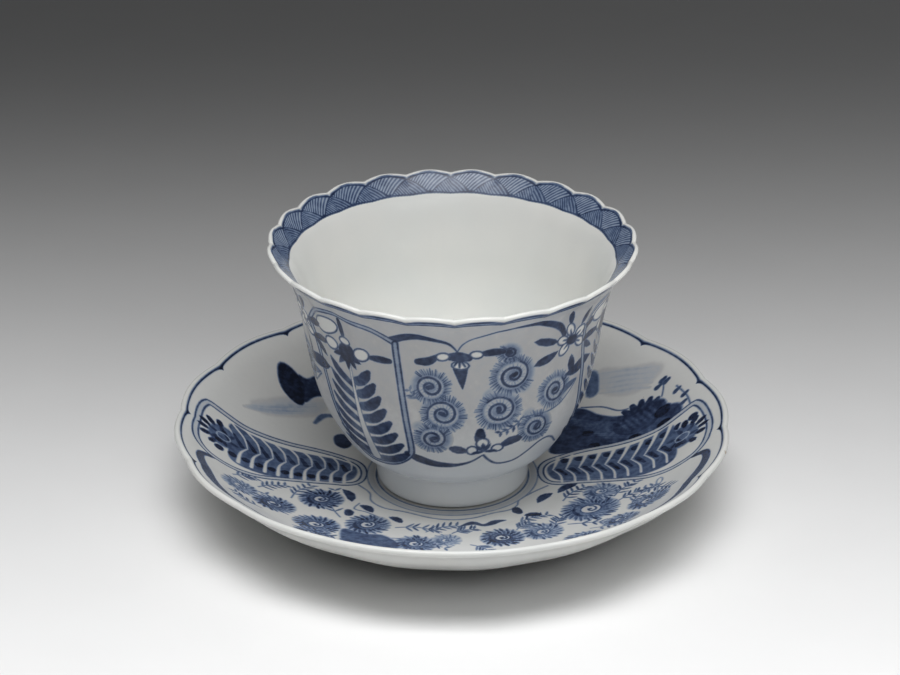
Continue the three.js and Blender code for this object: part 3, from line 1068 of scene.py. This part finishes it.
def glaze(name, white, bare_below, flaw, flaw_radius):
    """Clear glaze over white porcelain, with cobalt blue where the pigment attribute says.

    Below the height bare_below the foot's rim has no glaze. flaw is the place of a brown stain.
    """
    material = bpy.data.materials.new(name)
    nodes = Nodes(material)
    place = nodes.add("ShaderNodeTexCoord").outputs["Object"]
    pigment = nodes.add("ShaderNodeAttribute", attribute_name="pigment").outputs["Fac"]

    mottle = nodes.remap(nodes.noise(place, 700, 4), 0.3, 0.7, 0.82, 1.14)
    pooling = nodes.remap(nodes.noise(place, 160, 2), 0.3, 0.7, 0.9, 1.1)
    uneven = nodes.math("MULTIPLY", nodes.math("MULTIPLY", pigment, mottle), pooling)
    painted = nodes.ramp(nodes.math("DIVIDE", uneven, FULL_PIGMENT), [(0.0, white), *COBALT])

    cooler = (0.955 * white[0], 0.97 * white[1], 0.98 * white[2])
    body = nodes.mix(nodes.remap(nodes.noise(place, 45, 2), 0.35, 0.65), white, cooler)
    # Where the pigment is faint the white turns towards the ramp's grey: this is how the painted
    # shade shows.
    colour = nodes.mix(nodes.remap(pigment, 0.0, 0.1), body, painted)

    cells = nodes.add("ShaderNodeTexVoronoi", {"Vector": place, "Scale": 95})
    rare = nodes.math("LESS_THAN", nodes.noise(place, 60, 0), 0.36)
    speck = nodes.math("MULTIPLY", nodes.remap(cells.outputs["Distance"], 0.03, 0.015), rare)
    colour = nodes.mix(speck, colour, IRON_SPECK)
    colour = nodes.mix(stain(nodes, place, flaw, flaw_radius), colour, BROWN_STAIN)

    height = nodes.add("ShaderNodeSeparateXYZ", {"Vector": place}).outputs["Z"]
    bare = nodes.remap(height, (bare_below + 0.2) * MM, bare_below * MM)
    colour = nodes.mix(bare, colour, BARE_CLAY)
    shine = nodes.remap(nodes.noise(place, 220, 2), 0.3, 0.7, 0.2, 0.26)
    rough = nodes.math("MAXIMUM", shine, nodes.math("MULTIPLY", bare, 0.62))

    ripple = nodes.add("ShaderNodeBump", {
        "Height": nodes.noise(place, 180, 2), "Strength": 0.12, "Distance": 0.0002})
    shader = nodes.add("ShaderNodeBsdfPrincipled", {
        "Base Color": colour, "Roughness": rough, "Normal": ripple.outputs["Normal"]})
    shader.inputs["Specular IOR Level"].default_value = 0.38
    nodes.add("ShaderNodeOutputMaterial", {"Surface": shader.outputs["BSDF"]})
    return material


# The studio.


def make_floor():
    """A square of pale paper under the set."""
    mesh = bpy.data.meshes.new("floor")
    signs = [(-1, -1), (1, -1), (1, 1), (-1, 1)]
    corners = [(FLOOR_REACH * x, FLOOR_REACH * y, 0) for x, y in signs]
    mesh.from_pydata(corners, [], [(0, 1, 2, 3)])
    floor = bpy.data.objects.new("floor", mesh)
    material = bpy.data.materials.new("floor_paper")
    nodes = Nodes(material)
    place = nodes.add("ShaderNodeTexCoord").outputs["Object"]
    tint = nodes.mix(nodes.noise(place, 40, 2), (0.80, 0.80, 0.80), (0.83, 0.83, 0.83))
    shader = nodes.add("ShaderNodeBsdfPrincipled", {"Base Color": tint, "Roughness": 0.9})
    shader.inputs["Specular IOR Level"].default_value = 0.1
    nodes.add("ShaderNodeOutputMaterial", {"Surface": shader.outputs["BSDF"]})
    mesh.materials.append(material)
    bpy.context.scene.collection.objects.link(floor)


def softbox(name, place, tilt_deg, width, length, power, spread_deg):
    """A rectangular soft light that faces down, or by tilt_deg up towards the back."""
    data = bpy.data.lights.new(name, "AREA")
    data.shape = "RECTANGLE"
    data.size = width
    data.size_y = length
    data.energy = power
    data.spread = np.radians(spread_deg)
    light = bpy.data.objects.new(name, data)
    light.location = place
    light.rotation_euler = (np.radians(tilt_deg), 0, 0)
    bpy.context.scene.collection.objects.link(light)


def make_lights():
    """A long box overhead, a weaker one from the front right, and a little light all round."""
    world = bpy.data.worlds.new("studio")
    world.use_nodes = True
    background = world.node_tree.nodes["Background"]
    background.inputs["Color"].default_value = (0.97, 0.985, 1.0, 1)
    background.inputs["Strength"].default_value = 0.05
    bpy.context.scene.world = world
    softbox("overhead", (0.03, -0.17, 0.53), 0, 1.3, 0.25, 2.0, 76)
    softbox("front", (0.38, -0.5, 0.5), 42, 0.8, 0.3, 0.42, 110)
    bpy.context.scene.view_settings.view_transform = "Standard"


def make_camera():
    """Looks at the set from the front and down on it, through a long lens."""
    data = bpy.data.cameras.new("camera")
    data.lens = CAMERA_LENS_MM
    camera = bpy.data.objects.new("camera", data)
    elevation = np.radians(CAMERA_ELEVATION_DEG)
    away = Vector((0, -np.cos(elevation), np.sin(elevation)))
    camera.location = Vector(CAMERA_TARGET) + CAMERA_DISTANCE * away
    camera.rotation_euler = (-away).to_track_quat("-Z", "Y").to_euler()
    bpy.context.scene.collection.objects.link(camera)
    bpy.context.scene.camera = camera


make_camera()
make_lights()
make_floor()
make_saucer()
make_cup()
